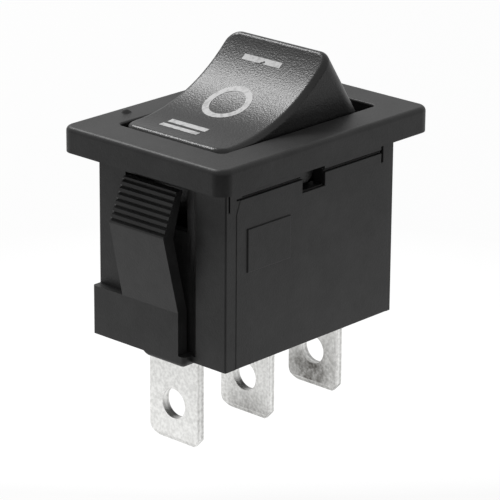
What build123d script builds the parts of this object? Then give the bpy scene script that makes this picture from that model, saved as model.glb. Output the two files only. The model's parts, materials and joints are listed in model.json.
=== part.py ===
"""Miniature three-position rocker switch, snap-in panel type, with three solder tabs.

Millimetres, +Z up. The origin is the middle of the panel seat, the flat underside of the bezel.
X runs along the long side of the bezel, Y across it. The rocker stands pressed down at the -X end.
"""
import os
from math import asin, cos, degrees, radians, sin, sqrt

from build123d import *

os.makedirs("parts", exist_ok=True)

# ---- bezel and body -------------------------------------------------------------------------
bezel_length = 21.0
bezel_width = 15.0
bezel_thickness = 1.8
bezel_corner = 0.95
bezel_edge = 0.35
gate_radius = 0.2
gate_height = 0.1
gate_x = -5.2
gate_y = 6.35
body_length = 16.95
body_width = 11.85
body_depth = 13.1
body_corner = 0.12
end_wall = 0.975
side_wall = 1.0
floor_thickness = 1.2
opening_step = 0.25
opening_depth = 0.7
opening_corner = 0.45
opening_edge = 0.15

# ---- where the mechanism stands in the body -------------------------------------------------
mechanism_x = 0.13
rocker_middle_y = 0.08

# ---- long walls -----------------------------------------------------------------------------
panel_low_border = 1.025
panel_high_border = 0.475
panel_top = -1.1
panel_recess = 0.14
seam_length = 14.1
seam_height = 0.12
seam_depth = 0.12
window_rise = 0.25
window_gap = 0.07
tick_width = 0.16
tick_height = 1.15
tick_depth = 0.2
tick_low_border = 0.325
tick_high_border = 1.275
tick_z = -1.33
mark_length = 4.1
mark_height = 2.95
mark_border = 4.125
mark_z = -4.93
mark_recess = 0.1

# ---- snap arms ------------------------------------------------------------------------------
arm_proud = 0.68
arm_ridge_proud = 1.98
arm_middle_y = 0.42
arm_root_width = 5.26
arm_tip_width = 4.96
arm_ridge_z = -4.0
arm_tip_z = -1.08
arm_thickness = 0.85
arm_tip_thickness = 0.6
arm_ridge_edge = 0.2
groove_count = 7
groove_depth = 0.13
block_height = 3.5
block_edge = 0.2
block_bury = 0.5
pocket_depth = 0.45
pocket_floor = 0.45
pocket_gap = 0.3
pocket_tuck = 0.21
pocket_cove = 1.2
pocket_top = -1.02
pocket_through_z = -4.2
foot_overhang = 0.59
foot_high_y = 1.05
foot_drop = 0.33
foot_ramp = 0.45
foot_corner = 0.45
foot_edge = 0.3
foot_thickness = 1.2

# ---- rocker ---------------------------------------------------------------------------------
pivot_z = -1.05
rocker_swing = 23.0
rocker_end_gap = 0.5
rocker_wall_gap = 0.25
rocker_side_gap = 0.15
rocker_middle_height = 4.32
rocker_end_height = 5.75
rocker_flare = 1.05
rocker_skirt_z = 0.0
rocker_corner = 1.1
rocker_top_edge = 0.4
rocker_top_wall = 1.1
rocker_side_wall = 0.9
rocker_end_wall = 0.9
crown_extra = 0.35
cheek_rise = 0.5
cheek_drop = 1.35
cheek_half_top = 2.2
cheek_half_low = 1.3
stub_radius = 1.0
stub_clearance = 0.05
stub_end_gap = 0.1
stub_edge = 0.15
bearing_depth = 0.4
tube_wall = 0.7
tube_end = -3.2
rib_thickness = 0.8
rib_inset = 0.5

# ---- plunger and spring ---------------------------------------------------------------------
bore_radius = 1.3
plunger_clearance = 0.06
plunger_top = -1.3
nose_length = 1.7
nose_radius = 0.6
nose_span = 53.0
spigot_gap = 0.26
spigot_height = 1.1
spring_wire = 0.28
spring_gap = 0.21
spring_seat = 0.02
spring_turns = 5
wire_flats = 5

# ---- see-saw contact ------------------------------------------------------------------------
swing_ratio = 0.4
fulcrum_rise = 3.17
bridge_thickness = 0.45
bridge_width = 5.0
bridge_end_gap = 0.405
bridge_corner = 0.8
dish_margin = 0.385
notch_gap = 0.275
notch_depth = 0.6
running_gap = 0.03
contact_radius = 0.95
contact_button = 0.3
contact_dome = 2.5
shank_radius = 0.45
rivet_head_radius = 0.75
rivet_head = 0.2
rivet_edge = 0.12
contact_gap = 0.02

# ---- terminals ------------------------------------------------------------------------------
terminal_gap = 0.045
sheet = 0.65
tab_width = 4.5
tab_length = 6.93
tab_chamfer_y = 0.45
tab_chamfer_z = 0.57
tab_round = 0.95
tab_bevel_x = 0.18
tab_bevel_z = 0.4
tab_hole_radius = 1.08
tab_hole_rise = 2.78
shoulder_wall = 1.725
shoulder_stand = 0.1
shoulder_notch = 0.7
common_ear_gap = 0.12
common_ear_width = 0.65
common_ear_rise = 0.85
saddle_bevel_y = 0.18
saddle_bevel_x = 0.26
end_flange_width = 4.4
end_flange_margin = 0.49
end_flange_bend = 0.5
fixed_contact_thickness = 0.45
fixed_contact_radius = 1.05
fixed_contact_edge = 0.12
slot_recess_gap = 0.525
slot_recess_margin = 0.7
slot_recess_depth = 0.7

# ---- body, cavity and opening, worked out from those above -----------------------------------
half_body_x = body_length / 2
half_body_y = body_width / 2
cavity_length = body_length - 2 * end_wall
cavity_width = body_width - 2 * side_wall
floor_top = -body_depth + floor_thickness
panel_low_x = -half_body_x + panel_low_border
panel_high_x = half_body_x - panel_high_border
tick_low_x = -half_body_x + tick_low_border
tick_high_x = half_body_x - tick_high_border
mark_x = -half_body_x + mark_border
seam_z = panel_top + seam_height / 4

# ---- snap arms, worked out -------------------------------------------------------------------
arm_face_x = half_body_x + arm_proud
arm_ridge_x = half_body_x + arm_ridge_proud
arm_root_z = -body_depth + block_height
arm_low_y = arm_middle_y - arm_root_width / 2
arm_high_y = arm_middle_y + arm_root_width / 2
pocket_back = half_body_x - pocket_depth
pocket_bottom = -body_depth + pocket_floor
pocket_low_y = arm_low_y + pocket_tuck
pocket_high_y = arm_high_y + pocket_gap
foot_low_y = arm_low_y - foot_overhang

# ---- rocker, worked out ----------------------------------------------------------------------
rocker_reach = cavity_length / 2 - rocker_end_gap
rocker_half_length = rocker_reach - rocker_flare
rocker_width = cavity_width - 2 * rocker_wall_gap
opening_length = cavity_length + 2 * opening_step
opening_width = rocker_width + 2 * rocker_side_gap
stub_bore = stub_radius + stub_clearance
stub_end = cavity_width / 2 + bearing_depth - stub_end_gap
window_top = pivot_z + window_rise

# ---- plunger and spring, worked out ----------------------------------------------------------
fulcrum_z = floor_top + fulcrum_rise
plunger_reach = pivot_z - fulcrum_z - running_gap - bridge_thickness
plunger_radius = bore_radius - plunger_clearance
plunger_shoulder = -plunger_reach + nose_length
spring_radius = bore_radius - spring_gap - spring_wire / 2
spigot_radius = spring_radius - spring_wire / 2 - spigot_gap
bore_top = rocker_middle_height - rocker_top_wall

# ---- see-saw, worked out: its dish follows the path of the plunger's tip ---------------------
bridge_swing = rocker_swing * swing_ratio
nose_orbit = plunger_reach - nose_radius
swing_rad = radians(rocker_swing)
tilt_rad = radians(bridge_swing)
nose_x = nose_orbit * sin(swing_rad)
nose_z = pivot_z - nose_orbit * cos(swing_rad) - fulcrum_z
path_x = nose_x * cos(tilt_rad) - nose_z * sin(tilt_rad)
path_z = nose_x * sin(tilt_rad) + nose_z * cos(tilt_rad)
path_low = pivot_z - nose_orbit - fulcrum_z
path_rise = path_z - path_low
path_radius = (path_x ** 2 + path_rise ** 2) / (2 * path_rise)
dish_radius = path_radius + nose_radius + running_gap
dish_centre = path_low + path_radius
dish_half = path_x + dish_margin
under_radius = dish_radius + bridge_thickness
bridge_top = dish_centre - sqrt(dish_radius ** 2 - dish_half ** 2)
bridge_under = bridge_top - bridge_thickness
under_half = sqrt(under_radius ** 2 - (dish_centre - bridge_under) ** 2)
terminal_pitch = cavity_length / 2 - terminal_gap - sheet / 2
bridge_half_length = terminal_pitch - sheet / 2 - bridge_end_gap
notch_length = sheet + 2 * notch_gap
moving_contact_x = bridge_half_length - contact_radius
button_low = bridge_under - contact_button
dome_drop = contact_dome - sqrt(contact_dome ** 2 - contact_radius ** 2)
dome_centre = button_low - dome_drop + contact_dome
dome_span = degrees(asin(contact_radius / contact_dome))
touch_x = moving_contact_x * cos(tilt_rad) + dome_centre * sin(tilt_rad)
touch_z = fulcrum_z - moving_contact_x * sin(tilt_rad) + dome_centre * cos(tilt_rad) - contact_dome

# ---- terminals, worked out -------------------------------------------------------------------
fixed_top = touch_z - contact_gap
flange_top = fixed_top - fixed_contact_thickness
flange_inner_x = touch_x - fixed_contact_radius - end_flange_margin
flange_outer_x = terminal_pitch + sheet / 2
half_flange = end_flange_width / 2
half_tab = tab_width / 2
half_shoulder = body_width / 2 - shoulder_wall
shoulder_z = -body_depth - shoulder_stand
tab_end_z = -body_depth - tab_length
tab_hole_z = tab_end_z + tab_hole_rise
saddle_top = fulcrum_z - running_gap
ear_inner = bridge_width / 2 - notch_depth + common_ear_gap
ear_outer = ear_inner + common_ear_width
slot_recess_length = sheet + 2 * slot_recess_gap
slot_recess_width = 2 * (half_shoulder + slot_recess_margin)

rocker_place = Location((mechanism_x, rocker_middle_y, pivot_z), (0, -rocker_swing, 0))
bridge_place = Location((mechanism_x, 0, fulcrum_z), (0, bridge_swing, 0))
terminal_place = Location((mechanism_x, 0, 0))

# ---- snap arm at the -X end, drawn from the side and narrowed from the front ----------------
with BuildPart() as arm:
    with BuildSketch(Plane.XZ) as arm_side:
        with BuildLine():
            Polyline(
                (-arm_face_x, -body_depth),
                (-arm_face_x, arm_root_z),
                (-arm_ridge_x, arm_ridge_z),
                (-arm_face_x, arm_tip_z),
                (-arm_face_x + arm_tip_thickness, arm_tip_z),
                (-arm_ridge_x + arm_thickness + 0.1, arm_ridge_z - 0.25),
                (-arm_face_x + arm_thickness, arm_root_z),
                (-arm_face_x + arm_thickness, -body_depth),
                close=True,
            )
        make_face()
    extrude(amount=6, both=True)
    with BuildSketch(Plane.YZ) as arm_front:
        with BuildLine():
            Polyline(
                (arm_middle_y - arm_root_width / 2, -body_depth),
                (arm_middle_y - arm_root_width / 2, arm_root_z),
                (arm_middle_y - arm_tip_width / 2, arm_tip_z),
                (arm_middle_y + arm_tip_width / 2, arm_tip_z),
                (arm_middle_y + arm_root_width / 2, arm_root_z),
                (arm_middle_y + arm_root_width / 2, -body_depth),
                close=True,
            )
        make_face()
    extrude(amount=-20, mode=Mode.INTERSECT)
    groove_pitch = (arm_ridge_z - arm_tip_z) / groove_count
    ridge_step = (arm_ridge_x - arm_face_x) / groove_count
    for groove in range(groove_count):
        groove_x = -arm_face_x - (groove + 0.5) * ridge_step
        groove_z = arm_tip_z + (groove + 0.5) * groove_pitch
        with BuildSketch(Plane.XZ) as groove_side:
            with BuildLine():
                Polyline(
                    (groove_x + 0.3 * ridge_step - 0.02, groove_z + 0.3 * abs(groove_pitch)),
                    (groove_x - 0.3 * ridge_step - 0.02, groove_z - 0.3 * abs(groove_pitch)),
                    (groove_x + groove_depth, groove_z - 0.05),
                    close=True,
                )
            make_face()
        extrude(amount=6, both=True, mode=Mode.SUBTRACT)
    arm_ridge_edges = arm.edges().filter_by(Axis.Y).group_by(Axis.X)[0]
    fillet(arm_ridge_edges, radius=arm_ridge_edge)

# ---- foot under the block at the -X end ------------------------------------------------------
with BuildPart() as foot:
    with BuildSketch(Plane.YZ.offset(-arm_face_x)) as foot_side:
        with BuildLine():
            Polyline(
                (foot_low_y, pocket_bottom),
                (foot_low_y, -body_depth - foot_drop),
                (foot_high_y - foot_ramp, -body_depth - foot_drop),
                (foot_high_y, -body_depth),
                (foot_high_y, pocket_bottom),
                close=True,
            )
        make_face()
        at_toe = lambda point: point.X < foot_low_y + 0.1 and point.Y < -body_depth
        fillet(foot_side.vertices().filter_by(at_toe), radius=foot_corner)
    extrude(amount=foot_thickness)
    on_face = lambda edge: edge.center().X < -arm_face_x + 0.01
    under = lambda edge: edge.center().Z < pocket_bottom - 0.01
    off_ramp = lambda edge: edge.center().Y < foot_high_y - foot_ramp
    fillet(foot.edges().filter_by(on_face).filter_by(under).filter_by(off_ramp), radius=foot_edge)

# ---- housing: bezel, body and both snap arms in one moulding --------------------------------
with BuildPart() as housing:
    with BuildSketch(Plane.XY):
        RectangleRounded(bezel_length, bezel_width, bezel_corner)
    extrude(amount=bezel_thickness)
    fillet(housing.edges().group_by(Axis.Z)[-1], radius=bezel_edge)
    # stub left by the mould's gate
    with BuildSketch(Plane.XY.offset(bezel_thickness)):
        with Locations((gate_x, gate_y)):
            Circle(gate_radius)
    extrude(amount=gate_height)
    with BuildSketch(Plane.XY):
        RectangleRounded(body_length, body_width, body_corner)
    extrude(amount=-body_depth)
    # recessed panel in each long wall
    panel_middle = (panel_low_x + panel_high_x) / 2
    panel_span = panel_high_x - panel_low_x
    for side in (-1, 1):
        with Locations((panel_middle, side * half_body_y, (panel_top - body_depth) / 2)):
            Box(panel_span, 2 * panel_recess, body_depth + panel_top, mode=Mode.SUBTRACT)
        with Locations((mechanism_x, side * half_body_y, seam_z)):
            Box(seam_length, 2 * (panel_recess + seam_depth), seam_height, mode=Mode.SUBTRACT)
        with Locations((mark_x, side * half_body_y, mark_z)):
            Box(mark_length, 2 * (panel_recess + mark_recess), mark_height, mode=Mode.SUBTRACT)
        with Locations((tick_low_x, side * half_body_y, tick_z)):
            Box(tick_width, 2 * tick_depth, tick_height, mode=Mode.SUBTRACT)
        with Locations((tick_high_x, side * half_body_y, tick_z)):
            Box(tick_width, 2 * tick_depth, tick_height, mode=Mode.SUBTRACT)
    # pockets behind the snap arms, right through above the contacts
    cove_radius = (pocket_cove ** 2 + pocket_depth ** 2) / (2 * pocket_depth)
    cove_middle = pocket_cove / 2
    cove_depth = pocket_depth - cove_radius + sqrt(cove_radius ** 2 - cove_middle ** 2)
    for end in (-1, 1):
        with BuildSketch(Plane.XY.offset(pocket_bottom)):
            with BuildLine():
                ThreePointArc(
                    (end * half_body_x, pocket_low_y - pocket_cove),
                    (end * (half_body_x - cove_depth), pocket_low_y - cove_middle),
                    (end * pocket_back, pocket_low_y),
                )
                Polyline(
                    (end * pocket_back, pocket_low_y),
                    (end * pocket_back, pocket_high_y),
                    (end * (half_body_x + 1), pocket_high_y),
                    (end * (half_body_x + 1), pocket_low_y - pocket_cove),
                    (end * half_body_x, pocket_low_y - pocket_cove),
                )
            make_face()
        extrude(amount=pocket_top - pocket_bottom, mode=Mode.SUBTRACT)
        through_middle = (pocket_low_y + pocket_high_y) / 2
        through_low = (pocket_top + pocket_through_z) / 2
        with Locations((end * pocket_back, through_middle, through_low)):
            Box(2.0, pocket_high_y - pocket_low_y, pocket_top - pocket_through_z, mode=Mode.SUBTRACT)
    # block that carries the root of each arm, and the foot under it
    for end in (-1, 1):
        with BuildSketch(Plane.XY.offset(-body_depth)) as block_plan:
            with BuildLine():
                Polyline(
                    (end * (half_body_x - block_bury), arm_middle_y),
                    (end * (half_body_x - block_bury), half_body_y),
                    (end * arm_face_x, half_body_y),
                    (end * arm_face_x, arm_middle_y),
                    close=True,
                )
            make_face()
            at_corner = lambda point: abs(point.X) > half_body_x and point.Y > arm_middle_y + 1
            fillet(block_plan.vertices().filter_by(at_corner), radius=block_edge)
        extrude(amount=arm_root_z + body_depth)
    add(foot.part)
    mirror(foot.part, about=Plane.YZ)
    add(arm.part)
    mirror(arm.part, about=Plane.YZ)
    # opening for the rocker and the space for the mechanism
    with BuildSketch(Plane.XY.offset(-opening_depth)):
        with Locations((mechanism_x, rocker_middle_y)):
            RectangleRounded(opening_length, opening_width, opening_corner)
    extrude(amount=bezel_thickness + opening_depth, mode=Mode.SUBTRACT)
    with BuildSketch(Plane.XY.offset(floor_top)):
        with Locations((mechanism_x, rocker_middle_y)):
            RectangleRounded(cavity_length, cavity_width, opening_corner)
    extrude(amount=-opening_depth - floor_top, mode=Mode.SUBTRACT)
    # bearings for the rocker
    with BuildSketch(Plane.XZ.offset(-rocker_middle_y)) as bearing:
        with Locations((mechanism_x, pivot_z)):
            Circle(stub_bore)
    extrude(amount=cavity_width / 2 + bearing_depth, both=True, mode=Mode.SUBTRACT)
    window_bottom = pivot_z - stub_bore
    with Locations((mechanism_x, 0, (window_top + window_bottom) / 2)):
        Box(2 * (stub_bore + window_gap), bezel_width, window_top - window_bottom, mode=Mode.SUBTRACT)
    # recesses and slots for the terminals
    for place in (-1, 0, 1):
        terminal_x = mechanism_x + place * terminal_pitch
        with Locations((terminal_x, 0, -body_depth + slot_recess_depth / 2)):
            Box(slot_recess_length, slot_recess_width, slot_recess_depth, mode=Mode.SUBTRACT)
        with Locations((terminal_x, 0, floor_top - floor_thickness / 2)):
            Box(sheet, 2 * half_shoulder, floor_thickness, mode=Mode.SUBTRACT)
    rim = housing.edges().filter_by_position(Axis.Z, bezel_thickness - 0.01, bezel_thickness + 0.01)
    along = lambda edge: abs(edge.center().X - mechanism_x) < opening_length / 2 + 0.1
    across = lambda edge: abs(edge.center().Y - rocker_middle_y) < opening_width / 2 + 0.1
    fillet(rim.filter_by(along).filter_by(across), radius=opening_edge)
housing.part.label = "housing"

# ---- rocker, drawn upright about its pivot ---------------------------------------------------
with BuildPart() as rocker_upright:
    with BuildSketch(Plane.XZ):
        with BuildLine():
            ThreePointArc(
                (-rocker_half_length, rocker_end_height),
                (0, rocker_middle_height),
                (rocker_half_length, rocker_end_height),
            )
            Polyline(
                (rocker_half_length, rocker_end_height),
                (rocker_reach, rocker_skirt_z),
                (-rocker_reach, rocker_skirt_z),
                (-rocker_half_length, rocker_end_height),
            )
        make_face()
    extrude(amount=rocker_width / 2, both=True)
    half_width = rocker_width / 2
    at_end = lambda edge: abs(edge.center().X) > rocker_half_length
    at_side = lambda edge: abs(edge.center().Y) > half_width - 0.01
    fillet(rocker_upright.edges().filter_by(at_end).filter_by(at_side), radius=rocker_corner)
    fillet(rocker_upright.faces().sort_by(Axis.Z)[-1].edges(), radius=rocker_top_edge)
    with BuildSketch(Plane.XZ):
        with BuildLine():
            inner_half = rocker_half_length - rocker_end_wall
            inner_skirt = rocker_reach - rocker_end_wall
            inner_crown = rocker_end_height - rocker_top_wall - crown_extra
            ThreePointArc((-inner_half, inner_crown), (0, bore_top), (inner_half, inner_crown))
            Polyline(
                (inner_half, inner_crown),
                (inner_skirt, rocker_skirt_z),
                (-inner_skirt, rocker_skirt_z),
                (-inner_half, inner_crown),
            )
        make_face()
    extrude(amount=rocker_width / 2 - rocker_side_wall, both=True, mode=Mode.SUBTRACT)
    # cheeks that carry the pivot stubs
    for side in (-1, 1):
        with BuildSketch(Plane.XZ.offset(side * (rocker_width - rocker_side_wall) / 2)):
            with BuildLine():
                Polyline(
                    (cheek_half_low, -cheek_rise),
                    (cheek_half_top, rocker_skirt_z + cheek_rise),
                    (-cheek_half_top, rocker_skirt_z + cheek_rise),
                    (-cheek_half_low, -cheek_rise),
                )
                ThreePointArc(
                    (-cheek_half_low, -cheek_rise),
                    (0, -cheek_drop),
                    (cheek_half_low, -cheek_rise),
                )
            make_face()
        extrude(amount=rocker_side_wall / 2, both=True)
    stub_length = stub_end - (rocker_width - rocker_side_wall) / 2
    for side in (-1, 1):
        with BuildSketch(Plane.XZ.offset(side * (rocker_width - rocker_side_wall) / 2)):
            Circle(stub_radius)
        extrude(amount=side * stub_length)
    at_tip = lambda edge: abs(abs(edge.center().Y) - stub_end) < 0.01
    chamfer(rocker_upright.edges().filter_by(GeomType.CIRCLE).filter_by(at_tip), length=stub_edge)
    # spring tube and the ribs that hold it
    with BuildSketch(Plane.XY.offset(tube_end)):
        Circle(bore_radius + tube_wall)
    extrude(amount=bore_top + rib_inset - tube_end)
    with Locations((0, 0, (bore_top + rib_inset + rocker_skirt_z) / 2)):
        Box(rib_thickness, rocker_width - 2 * rib_inset, bore_top + rib_inset - rocker_skirt_z)
    with BuildSketch(Plane.XY.offset(tube_end)):
        Circle(bore_radius)
    extrude(amount=bore_top - tube_end, mode=Mode.SUBTRACT)

with BuildPart() as rocker:
    with Locations(rocker_place):
        add(rocker_upright.part)
rocker.part.label = "rocker"

# ---- plunger and spring, upright about the same pivot ----------------------------------------
with BuildPart() as plunger_upright:
    with BuildSketch(Plane.XZ):
        with BuildLine():
            nose_turn = radians(nose_span)
            nose_flat = nose_radius * sin(nose_turn)
            nose_height = nose_radius * cos(nose_turn)
            Polyline(
                (0, plunger_top + spigot_height),
                (spigot_radius, plunger_top + spigot_height),
                (spigot_radius, plunger_top),
                (plunger_radius, plunger_top),
                (plunger_radius, plunger_shoulder),
                (nose_flat, -plunger_reach + nose_radius - nose_height),
            )
            CenterArc((0, -plunger_reach + nose_radius), nose_radius, -90, nose_span)
            Line((0, -plunger_reach), (0, plunger_top + spigot_height))
        make_face()
    revolve(axis=Axis.Z)

with BuildPart() as plunger:
    with Locations(rocker_place):
        add(plunger_upright.part)
plunger.part.label = "plunger"

spring_low = plunger_top + spring_wire / 2 + spring_seat
spring_high = bore_top - spring_wire / 2 - spring_seat
spring_pitch = (spring_high - spring_low) / spring_turns
with BuildPart() as spring_upright:
    with BuildLine(Plane.XY.offset(spring_low)) as coil_path:
        Helix(pitch=spring_pitch, height=spring_high - spring_low, radius=spring_radius)
    with BuildSketch(Plane(origin=coil_path.line @ 0, z_dir=coil_path.line % 0)):
        RegularPolygon(radius=spring_wire / 2, side_count=wire_flats)
    sweep(path=coil_path.line, is_frenet=True)

with BuildPart() as plunger_spring:
    with Locations(rocker_place):
        add(spring_upright.part)
plunger_spring.part.label = "plunger_spring"

# ---- see-saw contact and its two silver contacts, drawn level about the fulcrum --------------
with BuildPart() as bridge_level:
    with BuildSketch(Plane.XZ):
        with BuildLine():
            Line((-bridge_half_length, bridge_under), (-bridge_half_length, bridge_top))
            Line((-bridge_half_length, bridge_top), (-dish_half, bridge_top))
            ThreePointArc(
                (-dish_half, bridge_top),
                (0, dish_centre - dish_radius),
                (dish_half, bridge_top),
            )
            Line((dish_half, bridge_top), (bridge_half_length, bridge_top))
            Line((bridge_half_length, bridge_top), (bridge_half_length, bridge_under))
            Line((bridge_half_length, bridge_under), (under_half, bridge_under))
            ThreePointArc(
                (under_half, bridge_under),
                (0, dish_centre - under_radius),
                (-under_half, bridge_under),
            )
            Line((-under_half, bridge_under), (-bridge_half_length, bridge_under))
        make_face()
    extrude(amount=bridge_width / 2, both=True)
    for side in (-1, 1):
        with Locations((0, side * bridge_width / 2, 0)):
            Box(notch_length, 2 * notch_depth, 4, mode=Mode.SUBTRACT)
    with Locations((-moving_contact_x, 0, bridge_top), (moving_contact_x, 0, bridge_top)):
        Hole(shank_radius)
    is_corner = lambda edge: abs(edge.center().X) > bridge_half_length - 0.01
    fillet(bridge_level.edges().filter_by(Axis.Z).filter_by(is_corner), radius=bridge_corner)

with BuildPart() as contact_bridge:
    with Locations(bridge_place):
        add(bridge_level.part)
contact_bridge.part.label = "contact_bridge"

with BuildPart() as moving_level:
    with BuildSketch(Plane.XZ):
        with BuildLine():
            Polyline(
                (0, bridge_top + rivet_head),
                (rivet_head_radius - rivet_edge, bridge_top + rivet_head),
                (rivet_head_radius, bridge_top + rivet_head - rivet_edge),
                (rivet_head_radius, bridge_top),
                (shank_radius, bridge_top),
                (shank_radius, bridge_under),
                (contact_radius, bridge_under),
                (contact_radius, button_low),
            )
            CenterArc((0, dome_centre), contact_dome, -90, dome_span)
            Line((0, dome_centre - contact_dome), (0, bridge_top + rivet_head))
        make_face()
    revolve(axis=Axis.Z)

with BuildPart() as moving_contact_low:
    with Locations(bridge_place * Location((-moving_contact_x, 0, 0))):
        add(moving_level.part)
moving_contact_low.part.label = "moving_contact_low"

with BuildPart() as moving_contact_high:
    with Locations(bridge_place * Location((moving_contact_x, 0, 0))):
        add(moving_level.part)
moving_contact_high.part.label = "moving_contact_high"

# ---- terminals -------------------------------------------------------------------------------
with BuildPart() as common_level:
    with BuildSketch(Plane.YZ) as common_outline:
        with BuildLine():
            Polyline(
                (-half_tab + tab_chamfer_y, tab_end_z),
                (half_tab, tab_end_z),
                (half_tab, shoulder_z),
                (half_shoulder, shoulder_z),
                (half_shoulder, floor_top),
                (ear_outer, floor_top),
                (ear_outer, saddle_top + common_ear_rise),
                (ear_inner, saddle_top + common_ear_rise),
                (ear_inner, saddle_top),
                (-ear_inner, saddle_top),
                (-ear_inner, saddle_top + common_ear_rise),
                (-ear_outer, saddle_top + common_ear_rise),
                (-ear_outer, floor_top),
                (-half_shoulder, floor_top),
                (-half_shoulder, shoulder_z),
                (-half_tab, shoulder_z),
                (-half_tab, tab_end_z + tab_chamfer_z),
                close=True,
            )
        make_face()
        at_round = lambda point: point.X > half_tab - 0.01 and point.Y < tab_end_z + 0.01
        fillet(common_outline.vertices().filter_by(at_round), radius=tab_round)
        with Locations((0, tab_hole_z)):
            Circle(tab_hole_radius, mode=Mode.SUBTRACT)
    extrude(amount=sheet / 2, both=True)
    at_root = lambda edge: abs(edge.center().Z - shoulder_z) < 0.01
    at_tab = lambda edge: abs(edge.center().Y) < half_tab + 0.01
    at_saddle = lambda edge: abs(edge.center().Z - saddle_top) < 0.01
    tab_roots = common_level.edges().filter_by(Axis.X).filter_by(at_root).filter_by(at_tab)
    fillet(tab_roots, radius=shoulder_notch)
    saddle = common_level.edges().filter_by(Axis.Y).filter_by(at_saddle)
    chamfer(saddle, length=saddle_bevel_x, length2=saddle_bevel_y)
    # bevels on both faces of the tip
    for side in (-1, 1):
        with BuildSketch(Plane.XZ):
            with BuildLine():
                Polyline(
                    (side * (sheet / 2 - tab_bevel_x), tab_end_z),
                    (side * sheet / 2, tab_end_z + tab_bevel_z),
                    (side * sheet, tab_end_z + tab_bevel_z),
                    (side * sheet, tab_end_z),
                    close=True,
                )
            make_face()
        extrude(amount=tab_width, both=True, mode=Mode.SUBTRACT)

with BuildPart() as terminal_common:
    with Locations(terminal_place):
        add(common_level.part)
terminal_common.part.label = "terminal_common"

with BuildPart() as terminal_level:
    with BuildSketch(Plane.YZ.offset(terminal_pitch)) as end_outline:
        with BuildLine():
            Polyline(
                (-half_tab + tab_chamfer_y, tab_end_z),
                (half_tab, tab_end_z),
                (half_tab, shoulder_z),
                (half_shoulder, shoulder_z),
                (half_shoulder, floor_top),
                (half_flange, floor_top),
                (half_flange, flange_top),
                (-half_flange, flange_top),
                (-half_flange, floor_top),
                (-half_shoulder, floor_top),
                (-half_shoulder, shoulder_z),
                (-half_tab, shoulder_z),
                (-half_tab, tab_end_z + tab_chamfer_z),
                close=True,
            )
        make_face()
        fillet(end_outline.vertices().filter_by(at_round), radius=tab_round)
        with Locations((0, tab_hole_z)):
            Circle(tab_hole_radius, mode=Mode.SUBTRACT)
    extrude(amount=sheet / 2, both=True)
    tab_roots = terminal_level.edges().filter_by(Axis.X).filter_by(at_root).filter_by(at_tab)
    fillet(tab_roots, radius=shoulder_notch)
    for side in (-1, 1):
        with BuildSketch(Plane.XZ):
            with BuildLine():
                Polyline(
                    (terminal_pitch + side * (sheet / 2 - tab_bevel_x), tab_end_z),
                    (terminal_pitch + side * sheet / 2, tab_end_z + tab_bevel_z),
                    (terminal_pitch + side * sheet, tab_end_z + tab_bevel_z),
                    (terminal_pitch + side * sheet, tab_end_z),
                    close=True,
                )
            make_face()
        extrude(amount=tab_width, both=True, mode=Mode.SUBTRACT)
    with Locations(((flange_inner_x + flange_outer_x) / 2, 0, flange_top - sheet / 2)):
        Box(flange_outer_x - flange_inner_x, end_flange_width, sheet)
    at_bend = terminal_level.edges().filter_by(Axis.Y).group_by(Axis.Z)[-1].sort_by(Axis.X)[-1]
    fillet(at_bend, radius=end_flange_bend)
    with Locations((touch_x, 0, flange_top)):
        Hole(shank_radius)

with BuildPart() as terminal_high:
    with Locations(terminal_place):
        add(terminal_level.part)
terminal_high.part.label = "terminal_high"

with BuildPart() as terminal_low:
    with Locations(terminal_place):
        add(terminal_level.part.mirror(Plane.YZ))
terminal_low.part.label = "terminal_low"

with BuildPart() as fixed_level:
    with BuildSketch(Plane.XY.offset(flange_top)):
        with Locations((touch_x, 0)):
            Circle(fixed_contact_radius)
    extrude(amount=fixed_contact_thickness)
    chamfer(fixed_level.edges().group_by(Axis.Z)[-1], length=fixed_contact_edge)
    with BuildSketch(Plane.XY.offset(flange_top - sheet)):
        with Locations((touch_x, 0)):
            Circle(shank_radius)
    extrude(amount=sheet)
    with BuildSketch(Plane.XY.offset(flange_top - sheet - rivet_head)):
        with Locations((touch_x, 0)):
            Circle(rivet_head_radius)
    extrude(amount=rivet_head)

with BuildPart() as fixed_contact_high:
    with Locations(terminal_place):
        add(fixed_level.part)
fixed_contact_high.part.label = "fixed_contact_high"

with BuildPart() as fixed_contact_low:
    with Locations(terminal_place):
        add(fixed_level.part.mirror(Plane.YZ))
fixed_contact_low.part.label = "fixed_contact_low"

export_step(housing.part, "parts/housing.step")
export_step(rocker.part, "parts/rocker.step")
export_step(plunger.part, "parts/plunger.step")
export_step(plunger_spring.part, "parts/plunger_spring.step")
export_step(contact_bridge.part, "parts/contact_bridge.step")
export_step(moving_contact_low.part, "parts/moving_contact_low.step")
export_step(moving_contact_high.part, "parts/moving_contact_high.step")
export_step(terminal_common.part, "parts/terminal_common.step")
export_step(terminal_low.part, "parts/terminal_low.step")
export_step(terminal_high.part, "parts/terminal_high.step")
export_step(fixed_contact_low.part, "parts/fixed_contact_low.step")
export_step(fixed_contact_high.part, "parts/fixed_contact_high.step")
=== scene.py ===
"""Looks of the miniature rocker switch: finishes, printed marks, raised faces, light and camera.

Sizes written here are in millimetres, and MM turns them into metres. What comes from the frame is
in metres already. x runs along the rocker, y across it, and z points up.
"""
import json
from math import cos, inf, radians, sin, sqrt

import bpy
from mathutils import Matrix, Vector


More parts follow.
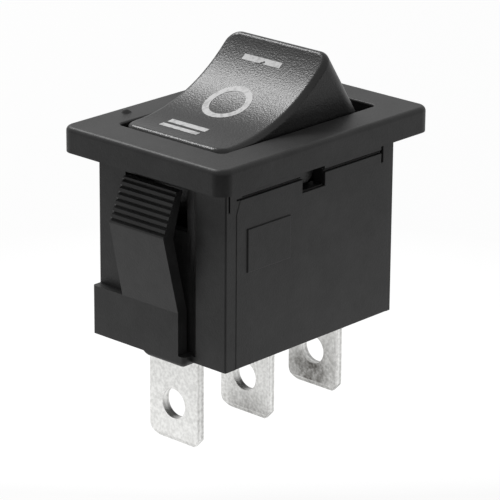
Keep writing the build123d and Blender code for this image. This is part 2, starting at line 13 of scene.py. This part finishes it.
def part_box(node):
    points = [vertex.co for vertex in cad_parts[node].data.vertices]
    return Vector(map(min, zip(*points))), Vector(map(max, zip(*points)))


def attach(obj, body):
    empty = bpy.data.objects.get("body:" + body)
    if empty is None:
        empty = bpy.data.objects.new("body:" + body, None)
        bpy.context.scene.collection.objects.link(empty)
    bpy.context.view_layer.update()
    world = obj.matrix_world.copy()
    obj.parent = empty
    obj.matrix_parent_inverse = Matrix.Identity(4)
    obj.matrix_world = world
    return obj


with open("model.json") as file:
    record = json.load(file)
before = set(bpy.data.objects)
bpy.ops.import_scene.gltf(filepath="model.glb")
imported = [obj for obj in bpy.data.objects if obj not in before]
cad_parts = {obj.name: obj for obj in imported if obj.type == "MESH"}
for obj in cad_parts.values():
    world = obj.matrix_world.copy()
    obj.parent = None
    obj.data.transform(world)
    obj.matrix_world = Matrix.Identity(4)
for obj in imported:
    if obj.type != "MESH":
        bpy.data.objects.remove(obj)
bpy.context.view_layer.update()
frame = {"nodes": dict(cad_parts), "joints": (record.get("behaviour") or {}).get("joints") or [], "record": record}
MM = 0.001

# ---- places taken from the frame --------------------------------------------------------------
nodes = frame["nodes"]
rocker_joint = next(joint for joint in frame["joints"] if joint["name"] == "rocker_pivot")
pivot = Vector(rocker_joint["pos_m"])
# the joint runs from one pressed end to the other, and the rocker is level halfway
rocker_swing = radians(rocker_joint["range_deg"][1] / 2)
common_low, common_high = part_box("terminal_common")
common_middle_x = (common_low[0] + common_high[0]) / 2
terminal_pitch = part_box("terminal_high")[1][0] - common_high[0]
floor_z = common_low[2]


# ---- small helpers ----------------------------------------------------------------------------
def hex_colour(code):
    """An sRGB hex value, such as 3c3c3c, as linear red, green, blue and alpha."""
    channels = [int(code[start:start + 2], 16) / 255 for start in (0, 2, 4)]
    linear = [c / 12.92 if c <= 0.04045 else ((c + 0.055) / 1.055) ** 2.4 for c in channels]
    return (*linear, 1.0)


def set_inputs(tree, node, inputs):
    """Sets a node's inputs, and links those whose value is another node's output."""
    for name, value in inputs.items():
        if isinstance(value, bpy.types.NodeSocket):
            tree.links.new(value, node.inputs[name])
        else:
            node.inputs[name].default_value = value


def add_node(tree, kind, inputs=None, output=0, stops=(), **settings):
    """Adds a node with its settings, inputs and colour stops, and gives back one of its outputs."""
    node = tree.nodes.new(kind)
    for name, value in settings.items():
        setattr(node, name, value)
    set_inputs(tree, node, inputs or {})
    for _ in stops[2:]:  # a new ramp has two stops already
        node.color_ramp.elements.new(0.5)
    for index, (position, colour) in enumerate(stops):
        node.color_ramp.elements[index].position = position
        node.color_ramp.elements[index].color = colour
    return node.outputs[output]


def new_material(name):
    """A material with its node tree, its principled shader and its object coordinates."""
    material = bpy.data.materials.new(name)
    material.use_nodes = True
    tree = material.node_tree
    place = add_node(tree, "ShaderNodeTexCoord", output="Object")
    return material, tree, tree.nodes["Principled BSDF"], place


def paint(piece, material):
    """Gives a piece one material all over."""
    piece.data.materials.clear()
    piece.data.materials.append(material)


def select_only(piece):
    """Selects one piece and makes it active."""
    bpy.ops.object.select_all(action="DESELECT")
    piece.select_set(True)
    bpy.context.view_layer.objects.active = piece


# ---- materials --------------------------------------------------------------------------------
def black_nylon(name, base, lighter, roughness, grain_mm, grain_height_mm):
    """Glass-filled nylon, moulded in a spark-eroded tool: near black, satin, with a fine even grain.

    The real grain is about 0.03 mm. It is drawn coarser, at grain_mm, so that it shows at this size.
    """
    patch_mm = 2.5  # slow change of tone, where the glass lies differently
    material, tree, shader, place = new_material(name)
    cloud = add_node(
        tree,
        "ShaderNodeTexNoise",
        {"Vector": place, "Scale": 1 / (patch_mm * MM), "Detail": 6.0, "Roughness": 0.65},
    )
    tone = add_node(
        tree,
        "ShaderNodeValToRGB",
        {"Fac": cloud},
        stops=[(0.3, hex_colour(base)), (0.7, hex_colour(lighter))],
    )
    grain = add_node(
        tree, "ShaderNodeTexNoise", {"Vector": place, "Scale": 1 / (grain_mm * MM), "Detail": 2.0}
    )
    rough = add_node(
        tree,
        "ShaderNodeMapRange",
        {"Value": grain, "To Min": roughness - 0.06, "To Max": roughness + 0.08},
    )
    bump = add_node(
        tree,
        "ShaderNodeBump",
        {"Height": grain, "Strength": 0.5, "Distance": grain_height_mm * MM},
    )
    set_inputs(tree, shader, {"Base Color": tone, "Roughness": rough, "Normal": bump, "IOR": 1.42})
    return material


def spot(tree, place, centre_mm, reach_mm, strength=1.0):
    """A soft round spot: full strength at its centre, nothing at its reach."""
    away = add_node(
        tree,
        "ShaderNodeVectorMath",
        {0: place, 1: Vector(centre_mm) * MM},
        output="Value",
        operation="DISTANCE",
    )
    return add_node(
        tree,
        "ShaderNodeMapRange",
        {"Value": away, "From Max": reach_mm * MM, "To Min": strength, "To Max": 0.0},
        interpolation_type="SMOOTHSTEP",
    )


def strip_depth(tree, place):
    """How deep a point of a terminal lies in the strip: 0 on its low x face, 1 on the other."""
    along = add_node(tree, "ShaderNodeSeparateXYZ", {0: place}, output="X")
    # the terminals stand a pitch apart, so every point is brought back to the middle one
    on_middle = add_node(
        tree,
        "ShaderNodeMath",
        {0: along, 1: common_middle_x + terminal_pitch / 2, 2: common_middle_x - terminal_pitch / 2},
        operation="WRAP",
    )
    return add_node(
        tree,
        "ShaderNodeMapRange",
        {"Value": on_middle, "From Min": common_low[0], "From Max": common_high[0]},
        clamp=False,
    )


def tarnish_and_painted_shade(tree, place, depth, stains_and_reflections):
    """Patchy grey tarnish stains and painted dark reflection, full on the low x faces and faint elsewhere.
    On what faces down they are full too, which is painted shade.

    Each spot, a stain or a painted reflection, is a centre in mm, a reach in mm and a strength.
    """
    patch_mm = 0.9
    darkened = 0.0
    for centre, reach, strength in stains_and_reflections:
        dark_spot = spot(tree, place, centre, reach, strength)
        darkened = add_node(tree, "ShaderNodeMath", {0: darkened, 1: dark_spot}, operation="ADD")
    cloud = add_node(
        tree,
        "ShaderNodeTexNoise",
        {"Vector": place, "Scale": 1 / (patch_mm * MM), "Detail": 5.0, "Roughness": 0.65},
    )
    patchy = add_node(
        tree,
        "ShaderNodeMapRange",
        {"Value": cloud, "From Min": 0.38, "From Max": 0.6, "To Min": 0.7},
    )
    on_face = add_node(
        tree,
        "ShaderNodeMapRange",
        {"Value": depth, "From Min": 0.02, "From Max": 0.08, "To Min": 1.0, "To Max": 0.15},
    )
    normal = add_node(tree, "ShaderNodeTexCoord", output="Normal")
    facing_up = add_node(tree, "ShaderNodeSeparateXYZ", {0: normal}, output="Z")
    # painted shade: faces turned down take the grey spots in full
    below = add_node(
        tree, "ShaderNodeMapRange", {"Value": facing_up, "From Min": -0.2, "From Max": -0.6}
    )
    front_and_underside = add_node(tree, "ShaderNodeMath", {0: on_face, 1: below}, operation="MAXIMUM")
    cover = add_node(tree, "ShaderNodeMath", {0: patchy, 1: front_and_underside}, operation="MULTIPLY")
    return add_node(tree, "ShaderNodeMath", {0: darkened, 1: cover}, operation="MULTIPLY")


def grey_stops(steps):
    """Colour stops, from pairs of a position and how grey it is there."""
    return [(position, (grey, grey, grey, 1.0)) for position, grey in steps]


def sheared_edge(tree, depth):
    """Two grey bands over a punched edge, and a bright one between, where the punch burnished it."""
    bands = [
        (0.05, 0.0),
        (0.13, 0.2),
        (0.3, 0.14),
        (0.4, 0.0),
        (0.58, 0.0),
        (0.7, 0.26),
        (0.88, 0.2),
        (0.97, 0.0),
    ]
    return add_node(tree, "ShaderNodeValToRGB", {"Fac": depth}, stops=grey_stops(bands))


def rolled_rim(tree, place):
    """A bright rim and a faint grey line beside the shoulders' low y end, by distance in mm."""
    across = add_node(tree, "ShaderNodeSeparateXYZ", {0: place}, output="Y")
    from_end_mm = add_node(
        tree,
        "ShaderNodeMapRange",
        {"Value": across, "From Min": common_low[1], "From Max": common_low[1] + MM},
    )
    bands = [(0.02, 0.0), (0.1, 0.0), (0.14, 0.2), (0.24, 0.16), (0.32, 0.0)]
    return add_node(tree, "ShaderNodeValToRGB", {"Fac": from_end_mm}, stops=grey_stops(bands))


def pale_silver(name, clean, darkened, stains_and_reflections=()):
    """Silver, as plating or solid: pale and satin, finely mottled, and greyer where it tarnishes.

    With stain and reflection spots it is the plating on the terminals' brass strip, which has sheared edges too,
    and greyer where dark reflection and shade are painted on it.
    """
    fleck_mm, fleck_height_mm = 0.22, 0.02
    material, tree, shader, place = new_material(name)
    fleck = add_node(
        tree, "ShaderNodeTexNoise", {"Vector": place, "Scale": 1 / (fleck_mm * MM), "Detail": 3.0}
    )
    grey = add_node(
        tree,
        "ShaderNodeMapRange",
        {"Value": fleck, "From Min": 0.35, "From Max": 0.65, "To Max": 0.2},
    )
    if stains_and_reflections:
        depth = strip_depth(tree, place)
        extras = (
            tarnish_and_painted_shade(tree, place, depth, stains_and_reflections),
            sheared_edge(tree, depth),
            rolled_rim(tree, place),
        )
        for extra in extras:
            grey = add_node(tree, "ShaderNodeMath", {0: grey, 1: extra}, operation="ADD")
    tone = add_node(
        tree,
        "ShaderNodeValToRGB",
        {"Fac": grey},
        stops=[(0.0, hex_colour(clean)), (1.0, hex_colour(darkened))],
    )
    rough = add_node(tree, "ShaderNodeMapRange", {"Value": fleck, "To Min": 0.3, "To Max": 0.55})
    bump = add_node(
        tree,
        "ShaderNodeBump",
        {"Height": fleck, "Strength": 0.5, "Distance": fleck_height_mm * MM},
    )
    set_inputs(
        tree, shader, {"Base Color": tone, "Metallic": 1.0, "Roughness": rough, "Normal": bump}
    )
    return material


def plain_metal(name, colour, roughness, mark_mm):
    """Drawn or rolled metal, with fine paler marks where the tool has rubbed it."""
    material, tree, shader, place = new_material(name)
    marks = add_node(tree, "ShaderNodeTexNoise", {"Vector": place, "Scale": 1 / (mark_mm * MM)})
    tone = add_node(
        tree,
        "ShaderNodeValToRGB",
        {"Fac": marks},
        stops=[(0.3, hex_colour(colour)), (0.8, hex_colour("d8d4cc"))],
    )
    set_inputs(tree, shader, {"Base Color": tone, "Metallic": 1.0, "Roughness": roughness})
    return material


def natural_acetal(name):
    """Unfilled acetal, moulded in a polished tool: milky white, smooth and slightly waxy."""
    haze_mm, light_depth_mm = 1.2, 0.4
    material, tree, shader, place = new_material(name)
    haze = add_node(
        tree, "ShaderNodeTexNoise", {"Vector": place, "Scale": 1 / (haze_mm * MM), "Detail": 2.0}
    )
    tone = add_node(
        tree,
        "ShaderNodeValToRGB",
        {"Fac": haze},
        stops=[(0.3, hex_colour("dedcd4")), (0.7, hex_colour("eae8e2"))],
    )
    set_inputs(
        tree,
        shader,
        {
            "Base Color": tone,
            "Roughness": 0.32,
            "Subsurface Weight": 0.3,
            "Subsurface Radius": (1.0, 1.0, 0.9),
            "Subsurface Scale": light_depth_mm * MM,
        },
    )
    return material


def white_ink(name, chips):
    """Pad-printed white ink: matt, nearly white, thin in places, with a ragged chip in one edge.

    Each chip is a centre in mm and a reach in mm. The black rocker shows through it.
    """
    thin_place_mm, crumb_mm = 0.35, 0.12
    material, tree, shader, place = new_material(name)
    cloud = add_node(
        tree,
        "ShaderNodeTexNoise",
        {"Vector": place, "Scale": 1 / (thin_place_mm * MM), "Detail": 4.0},
    )
    tone = add_node(
        tree,
        "ShaderNodeValToRGB",
        {"Fac": cloud},
        stops=[(0.36, hex_colour("c2c2c2")), (0.52, hex_colour("e4e4e4"))],
    )
    missing = 0.0
    for centre, reach in chips:
        chip = spot(tree, place, centre, reach)
        missing = add_node(tree, "ShaderNodeMath", {0: missing, 1: chip}, operation="MAXIMUM")
    crumb = add_node(
        tree, "ShaderNodeTexNoise", {"Vector": place, "Scale": 1 / (crumb_mm * MM), "Detail": 2.0}
    )
    uneven = add_node(tree, "ShaderNodeMath", {0: crumb, 1: 0.5}, operation="ADD")
    ragged = add_node(tree, "ShaderNodeMath", {0: missing, 1: uneven}, operation="MULTIPLY")
    gone = add_node(
        tree, "ShaderNodeMapRange", {"Value": ragged, "From Min": 0.42, "From Max": 0.5}
    )
    # a mix of colours takes them at inputs 6 and 7, and gives the result at output 2
    shown = add_node(
        tree,
        "ShaderNodeMix",
        {0: gone, 6: tone, 7: hex_colour("1c1c1c")},
        output=2,
        data_type="RGBA",
    )
    set_inputs(tree, shader, {"Base Color": shown, "Roughness": 0.55})
    return material


DISH_RADIUS = 13.093  # of the hollow arc that runs along the rocker's top
DISH_CENTRE = 17.413  # height of that arc's centre above the pivot


def on_rocker(along, aside):
    """The place on the rocker's top, in mm, at a distance along and across it from its middle."""
    height = DISH_CENTRE - sqrt(DISH_RADIUS ** 2 - along ** 2)
    turned = Matrix.Rotation(-rocker_swing, 3, "Y") @ Vector((along, aside, height))
    return pivot / MM + turned


housing_nylon = black_nylon(
    "black_nylon_body",
    base="171717",
    lighter="292929",
    roughness=0.45,
    grain_mm=0.12,
    grain_height_mm=0.025,
)
rocker_nylon = black_nylon(
    "black_nylon_rocker",
    base="1c1c1c",
    lighter="232323",
    roughness=0.29,
    grain_mm=0.13,
    grain_height_mm=0.038,
)
plated_brass = pale_silver(
    "silver_plated_brass",
    clean="efefed",
    darkened="5e5c58",
    stains_and_reflections=[
        # three stains on the terminal under the raised end, two spots on the middle one, one on the last
        ((7.26, 0.0, -20.4), 5.4, 0.72),
        ((7.26, 0.6, -18.9), 2.6, 0.26),
        ((7.26, -0.3, -16.4), 4.2, 0.27),
        ((0.13, -0.3, -21.0), 4.3, 0.85),
        # these two are painted reflection, not stains: the dark housing above, mirrored near the tops of the tabs
        ((0.13, 0.6, -17.1), 2.6, 0.2),
        ((-7.0, 0.9, -15.0), 2.6, 0.03),
    ],
)
contact_silver = pale_silver("silver_contact_alloy", clean="e8e8e6", darkened="b4b2ae")
spring_steel = plain_metal("drawn_spring_steel", "8f8f8f", roughness=0.3, mark_mm=0.2)
copper_alloy = plain_metal("rolled_copper_alloy", "b87a52", roughness=0.35, mark_mm=0.3)
plunger_acetal = natural_acetal("natural_acetal")
# two spots that overlap, at the inner edge of the single bar, make one chip
ink_chips = [(on_rocker(3.87, 0.45), 0.26), (on_rocker(4.0, 0.28), 0.2)]
ink = white_ink("pad_printed_white_ink", ink_chips)

finish_by_slot = {
    "housing_nylon": housing_nylon,
    "rocker_nylon": rocker_nylon,
    "plunger_acetal": plunger_acetal,
    "spring_steel": spring_steel,
    "bridge_copper": copper_alloy,
    "contact_silver": contact_silver,
    "terminal_plated_brass": plated_brass,
}
for entry in frame["record"]["subparts"]:
    paint(nodes[entry["node"]], finish_by_slot[entry["material_slot"]])

# ---- printed marks ----------------------------------------------------------------------------
INK_DEPTH = 0.02
DRAWN_HEIGHT = 10.0  # the marks are drawn flat this far above the pivot, then wrapped


def print_on_rocker(mark, name):
    """Wraps a flat mark, drawn above the level rocker, on the turned rocker's hollow top."""
    mark.name = name
    select_only(mark)
    turn = Matrix.Rotation(-rocker_swing, 4, "Y")
    mark.matrix_world = Matrix.Translation(pivot) @ turn @ mark.matrix_world
    wrap = mark.modifiers.new("wrap", "SHRINKWRAP")
    wrap.target = nodes["rocker"]
    wrap.wrap_method = "PROJECT"
    wrap.use_project_z = True
    wrap.use_negative_direction = True
    wrap.use_positive_direction = False
    wrap.offset = INK_DEPTH / 2 * MM
    bpy.ops.object.modifier_apply(modifier="wrap")
    bpy.ops.object.transform_apply(location=True, rotation=True, scale=True)
    thick = mark.modifiers.new("thick", "SOLIDIFY")
    thick.thickness = INK_DEPTH * MM
    thick.offset = 0.0
    bpy.ops.object.modifier_apply(modifier="thick")
    paint(mark, ink)
    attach(mark, "rocker")


def bar_mark(name, along, aside):
    """A printed bar between two places along the rocker and two across it."""
    middle = Vector((sum(along) / 2, sum(aside) / 2, DRAWN_HEIGHT)) * MM
    bpy.ops.object.select_all(action="DESELECT")
    bpy.ops.mesh.primitive_grid_add(x_subdivisions=10, y_subdivisions=40, size=1, location=middle)
    bar = bpy.context.active_object
    bar.scale = ((along[1] - along[0]) * MM, (aside[1] - aside[0]) * MM, 1)
    bpy.context.view_layer.update()  # brings the scale into matrix_world
    print_on_rocker(bar, name)


def ring_mark(name, middle_along, middle_aside, outer_radius, stroke):
    """A printed ring."""
    middle = Vector((middle_along, middle_aside, DRAWN_HEIGHT)) * MM
    bpy.ops.object.select_all(action="DESELECT")
    bpy.ops.mesh.primitive_circle_add(
        vertices=96, radius=outer_radius * MM, fill_type="NGON", location=middle
    )
    ring = bpy.context.active_object
    bpy.ops.object.mode_set(mode="EDIT")
    bpy.ops.mesh.select_all(action="SELECT")
    # two insets make the stroke, and the face left inside them is taken out
    bpy.ops.mesh.inset(thickness=stroke / 2 * MM)
    bpy.ops.mesh.inset(thickness=stroke / 2 * MM)
    bpy.ops.mesh.delete(type="FACE")
    bpy.ops.object.mode_set(mode="OBJECT")
    print_on_rocker(ring, name)


bar_mark("print_on_first", along=(-4.51, -4.08), aside=(-0.82, 2.60))
bar_mark("print_on_second", along=(-3.80, -3.31), aside=(-0.92, 2.51))
ring_mark("print_off", middle_along=-0.06, middle_aside=0.41, outer_radius=1.78, stroke=0.48)
bar_mark("print_one", along=(3.84, 4.29), aside=(-1.22, 2.25))


# ---- raised faces -----------------------------------------------------------------------------
NEAR = 0.01  # points closer than this are taken as being at the same place


def pick(piece, low_x=-inf, high_x=inf, low_z=-inf, high_z=inf):
    """Selects, in edit mode, the points of a piece between two places in x and two in z."""
    bpy.ops.mesh.select_all(action="DESELECT")
    bpy.ops.object.mode_set(mode="OBJECT")
    for point in piece.data.vertices:
        x, _, z = point.co / MM
        point.select = low_x - NEAR < x < high_x + NEAR and low_z - NEAR < z < high_z + NEAR
    bpy.ops.object.mode_set(mode="EDIT")


def grow(x=0.0, y=0.0, z=0.0):
    """Extrudes what is selected, by a distance in mm."""
    bpy.ops.mesh.extrude_region_move(TRANSFORM_OT_translate={"value": (x * MM, y * MM, z * MM)})


def upright_sheet(name, low_x, high_x, low_z, high_z, y):
    """A flat upright rectangle, left in edit mode."""
    middle = Vector(((low_x + high_x) / 2, y, (low_z + high_z) / 2)) * MM
    bpy.ops.object.select_all(action="DESELECT")
    bpy.ops.mesh.primitive_plane_add(size=1, location=middle, rotation=(radians(90), 0, 0))
    sheet = bpy.context.active_object
    sheet.name = name
    sheet.scale = ((high_x - low_x) * MM, (high_z - low_z) * MM, 1)
    bpy.ops.object.transform_apply(location=True, rotation=True, scale=True)
    bpy.ops.object.mode_set(mode="EDIT")
    return sheet


def join_body(piece):
    """Turns a finished shell's faces outwards, and gives it the body's finish and motion."""
    bpy.ops.mesh.select_all(action="SELECT")
    bpy.ops.mesh.normals_make_consistent(inside=False)
    bpy.ops.object.mode_set(mode="OBJECT")
    paint(piece, housing_nylon)
    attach(piece, "body")


def finish_raised(piece, rise, softened):
    """Gives a flat outline its height, and softens its outer edges."""
    bpy.ops.mesh.select_all(action="SELECT")
    bpy.ops.mesh.dissolve_limited()
    bpy.ops.mesh.select_all(action="SELECT")
    grow(y=rise)
    bpy.ops.mesh.bevel(offset=softened * MM, segments=3, affect="EDGES")
    join_body(piece)


WALL_FACE = 5.925  # from the middle of the switch to a long wall

# a raised face starts at its root, inside the wall, and stands out of the wall's face
PLATE_ROOT, PLATE_STANDS, PLATE_SOFTENED = 5.75, 0.135, 0.05
PLATE_LOW_X, PLATE_HIGH_X = -6.45, -2.25
PLATE_LOW_Z, PLATE_HIGH_Z = -6.45, -3.41

FIELD_ROOT, FIELD_STANDS, FIELD_SOFTENED = 5.77, 0.04, 0.04
FIELD_LOW_X, FIELD_HIGH_X = -7.47, 8.02
FIELD_LOW_Z, FIELD_HIGH_Z = -13.08, -1.23
FIELD_CORNER_CUT = 0.35  # how far its upper corner is moved in
BEZEL_GAP = 0.01  # left between its highest edge and the bezel

WINDOW_LOW_X, WINDOW_HIGH_X, WINDOW_LOW_Z = -1.0, 1.26, -2.18
SLOT_LOW_X, SLOT_HIGH_X, SLOT_LOW_Z = 7.11, 7.29, -1.92

CORNER_STANDS, CORNER_SOFTENED = 0.003, 0.02
CORNER_HIGH_X, CORNER_LOW_Z = -6.9, -2.3


def wall_plate(name, side):
    """A shallow raised plate that fills the marking recess of a long wall, left bare.

    The near long wall's side is -1, and the far one's is 1.
    """
    y = side * PLATE_ROOT
    plate = upright_sheet(name, PLATE_LOW_X, PLATE_HIGH_X, PLATE_LOW_Z, PLATE_HIGH_Z, y)
    finish_raised(plate, side * (WALL_FACE + PLATE_STANDS - PLATE_ROOT), PLATE_SOFTENED)


def wall_panel(name, side):
    """The raised field of a long wall, cut out around the window and the short slot."""
    y = side * FIELD_ROOT
    panel = upright_sheet(name, FIELD_LOW_X, WINDOW_LOW_X, FIELD_LOW_Z, WINDOW_LOW_Z, y)
    column_edges = (WINDOW_LOW_X, WINDOW_HIGH_X, SLOT_LOW_X, SLOT_HIGH_X, FIELD_HIGH_X)
    for edge, next_edge in zip(column_edges, column_edges[1:]):
        pick(panel, low_x=edge, high_x=edge)
        grow(x=next_edge - edge)
    # before the window the field runs up to its top edge, where its outer corner is cut off
    pick(panel, high_x=WINDOW_LOW_X, low_z=WINDOW_LOW_Z)
    grow(z=FIELD_HIGH_Z - WINDOW_LOW_Z)
    pick(panel, high_x=FIELD_LOW_X, low_z=FIELD_HIGH_Z)
    bpy.ops.transform.translate(value=(FIELD_CORNER_CUT * MM, 0, 0))
    # after the window it runs up to the foot of the slot
    pick(panel, low_x=WINDOW_HIGH_X, low_z=WINDOW_LOW_Z, high_z=WINDOW_LOW_Z)
    grow(z=SLOT_LOW_Z - WINDOW_LOW_Z)
    # from there it goes up to its top edge before the slot, and up to the bezel beyond it
    pick(panel, low_x=WINDOW_HIGH_X, high_x=SLOT_LOW_X, low_z=SLOT_LOW_Z, high_z=SLOT_LOW_Z)
    grow(z=FIELD_HIGH_Z - SLOT_LOW_Z)
    pick(panel, low_x=SLOT_HIGH_X, low_z=SLOT_LOW_Z, high_z=SLOT_LOW_Z)
    grow(z=-BEZEL_GAP - SLOT_LOW_Z)
    finish_raised(panel, side * (WALL_FACE + FIELD_STANDS - FIELD_ROOT), FIELD_SOFTENED)


def wall_corner(name, side):
    """Fills the field's upper corner level with the border, where its edge runs out."""
    y = side * FIELD_ROOT
    corner = upright_sheet(name, FIELD_LOW_X, CORNER_HIGH_X, CORNER_LOW_Z, FIELD_HIGH_Z, y)
    finish_raised(corner, side * (WALL_FACE + CORNER_STANDS - FIELD_ROOT), CORNER_SOFTENED)


GATE_RADIUS = 0.4
GATE_SUNK = 0.02  # how deep the lump starts in the bezel
GATE_STEP = 0.12  # height of each of its two steps
GATE_LOWER_SHRINK, GATE_UPPER_SHRINK = (0.8, 0.62, 1.0), (0.55, 0.7, 1.0)
GATE_LEAN_X, GATE_LEAN_Y = -0.06, 0.04  # its upper step is pulled over by the twist
GATE_SOFTENED = 0.05
STUB_HEIGHT = 0.1  # the CAD's own stub on the bezel, which is the housing's highest point


def gate_mark(name, x, y):
    """The low lump left on the bezel where the moulding's runner was twisted off."""
    bezel_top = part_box("housing")[1][2] - STUB_HEIGHT * MM
    middle = (x * MM, y * MM, bezel_top - GATE_SUNK * MM)
    bpy.ops.object.select_all(action="DESELECT")
    bpy.ops.mesh.primitive_circle_add(
        vertices=28, radius=GATE_RADIUS * MM, fill_type="NGON", location=middle
    )
    lump = bpy.context.active_object
    lump.name = name
    bpy.ops.object.transform_apply(location=True, rotation=True, scale=True)
    bpy.ops.object.mode_set(mode="EDIT")
    bpy.ops.mesh.select_all(action="SELECT")
    grow(z=GATE_STEP)
    bpy.ops.transform.resize(value=GATE_LOWER_SHRINK)
    grow(x=GATE_LEAN_X, y=GATE_LEAN_Y, z=GATE_STEP)
    bpy.ops.transform.resize(value=GATE_UPPER_SHRINK)
    bpy.ops.mesh.bevel(offset=GATE_SOFTENED * MM, segments=2, affect="EDGES")
    join_body(lump)
    bpy.ops.object.shade_smooth_by_angle(angle=radians(35))


gate_mark("gate_mark", x=-5.28, y=6.42)
wall_plate("mark_plate_near", side=-1)
wall_plate("mark_plate_far", side=1)
wall_panel("wall_panel_near", side=-1)
wall_panel("wall_panel_far", side=1)
wall_corner("wall_corner_near", side=-1)
wall_corner("wall_corner_far", side=1)


# ---- floor, lights and camera -----------------------------------------------------------------
def pale_floor(name):
    """Matt white board, which takes the switch's shadow and looks almost white.

    Mirrored in the switch's own faces it is bright close by and dims outwards, as under a softbox,
    and it is darker on the near side, where no light stands.
    """
    near_side = (-0.735, -0.678, 0.0)
    material, tree, shader, place = new_material(name)
    set_inputs(tree, shader, {"Base Color": hex_colour("f2f2f2"), "Roughness": 0.9})
    outwards = add_node(
        tree, "ShaderNodeVectorMath", {0: place}, output="Value", operation="LENGTH"
    )
    dims = add_node(
        tree,
        "ShaderNodeMapRange",
        {
            "Value": outwards,
            "From Min": 15 * MM,
            "From Max": 110 * MM,
            "To Min": 1.15,
            "To Max": 0.7,
        },
    )
    nearer = add_node(
        tree,
        "ShaderNodeVectorMath",
        {0: place, 1: near_side},
        output="Value",
        operation="DOT_PRODUCT",
    )
    shade = add_node(
        tree,
        "ShaderNodeMapRange",
        {
            "Value": nearer,
            "From Min": 6 * MM,
            "From Max": 50 * MM,
            "To Min": 1.0,
            "To Max": 0.12,
        },
        interpolation_type="SMOOTHSTEP",
    )
    mirrored = add_node(tree, "ShaderNodeMath", {0: dims, 1: shade}, operation="MULTIPLY")
    seen = add_node(tree, "ShaderNodeLightPath", output="Is Camera Ray")
    glossy = add_node(tree, "ShaderNodeLightPath", output="Is Glossy Ray")
    strength = add_node(tree, "ShaderNodeMath", {0: mirrored, 1: seen}, operation="MAXIMUM")
    glow = add_node(tree, "ShaderNodeEmission", {"Strength": strength})
    # the rest of what is seen is the board itself, with the shadow on it
    seen_share = add_node(tree, "ShaderNodeMath", {0: seen, 1: 0.93}, operation="MULTIPLY")
    share = add_node(tree, "ShaderNodeMath", {0: seen_share, 1: glossy}, operation="MAXIMUM")
    blend = add_node(
        tree, "ShaderNodeMixShader", {"Fac": share, 1: shader.outputs["BSDF"], 2: glow}
    )
    set_inputs(tree, tree.nodes["Material Output"], {"Surface": blend})
    return material


def white_studio(name):
    """White all round: dim as a light, full white to the eye, and between the two in reflections."""
    world = bpy.data.worlds.new(name)
    world.use_nodes = True
    tree = world.node_tree
    dim = tree.nodes["Background"]
    set_inputs(tree, dim, {"Color": (1.0, 1.0, 1.0, 1.0), "Strength": 0.4})
    bright = add_node(
        tree, "ShaderNodeBackground", {"Color": (1.0, 1.0, 1.0, 1.0), "Strength": 1.0}
    )
    seen = add_node(tree, "ShaderNodeLightPath", output="Is Camera Ray")
    glossy = add_node(tree, "ShaderNodeLightPath", output="Is Glossy Ray")
    mirrored = add_node(tree, "ShaderNodeMath", {0: glossy, 1: 0.6}, operation="MULTIPLY")
    share = add_node(tree, "ShaderNodeMath", {0: seen, 1: mirrored}, operation="MAXIMUM")
    blend = add_node(
        tree, "ShaderNodeMixShader", {"Fac": share, 1: dim.outputs["Background"], 2: bright}
    )
    set_inputs(tree, tree.nodes["World Output"], {"Surface": blend})
    return world


def softbox(name, place_mm, aim_mm, width_mm, power):
    """A square soft light at a place, aimed at a point."""
    light = bpy.data.lights.new(name, "AREA")
    light.size = width_mm * MM
    light.energy = power
    lamp = bpy.data.objects.new(name, light)
    bpy.context.scene.collection.objects.link(lamp)
    lamp.location = Vector(place_mm) * MM
    towards = (Vector(aim_mm) - Vector(place_mm)).to_track_quat("-Z", "Y")
    lamp.rotation_euler = towards.to_euler()


def add_camera(aim_mm, distance_mm, heading, dip, roll, lens, sensor_width):
    """A camera that looks at a point from a distance: its angles in radians, its lens in mm."""
    data = bpy.data.cameras.new("camera")
    data.sensor_width = sensor_width
    data.lens = lens
    data.clip_start = 10 * MM
    camera = bpy.data.objects.new("camera", data)
    bpy.context.scene.collection.objects.link(camera)
    ahead = Vector((cos(heading) * cos(dip), sin(heading) * cos(dip), -sin(dip)))
    level = ahead.cross(Vector((0, 0, 1))).normalized()
    right = Matrix.Rotation(-roll, 3, ahead) @ level
    turn = Matrix((right, right.cross(ahead), -ahead)).transposed()
    stand = Vector(aim_mm) * MM - ahead * distance_mm * MM
    camera.matrix_world = Matrix.Translation(stand) @ turn.to_4x4()
    return camera


FLOOR_WIDTH = 3000
bpy.ops.object.select_all(action="DESELECT")
bpy.ops.mesh.primitive_plane_add(size=FLOOR_WIDTH * MM, location=(0, 0, floor_z))
floor = bpy.context.active_object
floor.name = "floor"
bpy.ops.object.transform_apply(location=True)
paint(floor, pale_floor("pale_floor"))

bpy.context.scene.world = white_studio("studio")
softbox("key_behind", place_mm=(26, 199, 222), aim_mm=(0, 0, 0), width_mm=90, power=0.41)
bpy.context.scene.camera = add_camera(
    aim_mm=(-1.702, -1.840, -7.068),
    distance_mm=208.921,
    heading=radians(42.6936),
    dip=radians(19.4702),
    roll=radians(0.4077),
    lens=220.231,
    sensor_width=36.0,
)
bpy.context.scene.view_settings.view_transform = "Standard"
